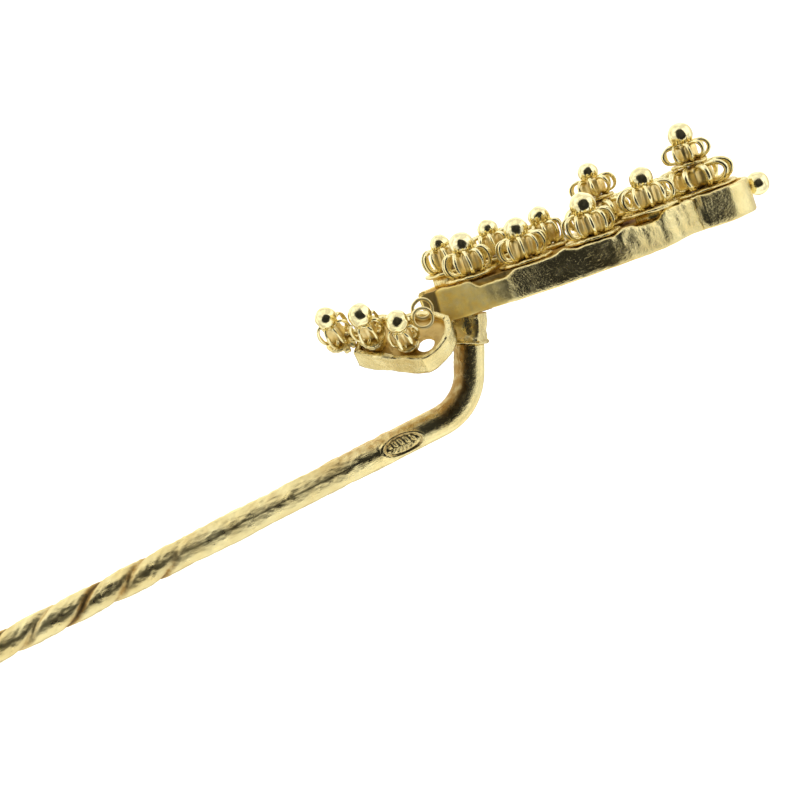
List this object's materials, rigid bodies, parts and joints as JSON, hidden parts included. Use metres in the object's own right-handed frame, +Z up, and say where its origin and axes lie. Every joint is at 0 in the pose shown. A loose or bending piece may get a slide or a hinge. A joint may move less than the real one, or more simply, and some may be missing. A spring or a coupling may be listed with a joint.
{
  "type": "hat pin",
  "caption": "Straight hat pin with a twisted round shank, a gooseneck bend and a filigree head of wire rosettes with small balls on a walled openwork plate.",
  "frame": {"origin": "on the stem's axis where the plain round shank ends and the gooseneck bend begins", "axes": "-X along the shank towards the point, +X towards the head, +Z up on the side where the rosettes stand, stem's bend in the XZ plane"},
  "size_m": [0.0883, 0.0078, 0.0082],
  "materials": {
    "stem_gold": "satin gold, drawn and twisted wire",
    "wire_gold": "polished gold filigree wire",
    "sheet_gold": "hammered and filed gold sheet with solder texture",
    "ball_gold": "mirror-polished gold"
  },
  "bodies": {
    "root": {"back_1_ball": "ball_gold", "back_1_coil": "wire_gold", "back_1_seat": "sheet_gold", "back_2_ball": "ball_gold", "back_2_coil": "wire_gold", "back_2_seat": "sheet_gold", "back_3_ball": "ball_gold", "back_3_coil": "wire_gold", "back_3_seat": "sheet_gold", "back_tall_ball": "ball_gold", "back_tall_coil": "wire_gold", "back_tall_crown": "wire_gold", "back_tall_seat": "sheet_gold", "back_tall_tier": "sheet_gold", "end_collet": "sheet_gold", "end_plate": "sheet_gold", "end_tall_ball": "ball_gold", "end_tall_coil": "wire_gold", "end_tall_crown": "wire_gold", "end_tall_seat": "sheet_gold", "end_tall_tier": "sheet_gold", "front_1_ball": "ball_gold", "front_1_coil": "wire_gold", "front_1_seat": "sheet_gold", "front_2_ball": "ball_gold", "front_2_coil": "wire_gold", "front_2_seat": "sheet_gold", "front_3_ball": "ball_gold", "front_3_coil": "wire_gold", "front_3_seat": "sheet_gold", "front_4_ball": "ball_gold", "front_4_coil": "wire_gold", "front_4_seat": "sheet_gold", "leaf_1_ball": "ball_gold", "leaf_1_coil": "wire_gold", "leaf_1_seat": "sheet_gold", "leaf_2_ball": "ball_gold", "leaf_2_coil": "wire_gold", "leaf_2_seat": "sheet_gold", "leaf_3_ball": "ball_gold", "leaf_3_coil": "wire_gold", "leaf_3_seat": "sheet_gold", "leaf_plate": "sheet_gold", "leaf_rim": "sheet_gold", "leaf_rings": "wire_gold", "main_plate": "sheet_gold", "main_rim": "sheet_gold", "neck_block": "sheet_gold", "pin_stem": "stem_gold", "tip_ball": "ball_gold", "under_bridge": "sheet_gold"}
  },
  "joints": []
}
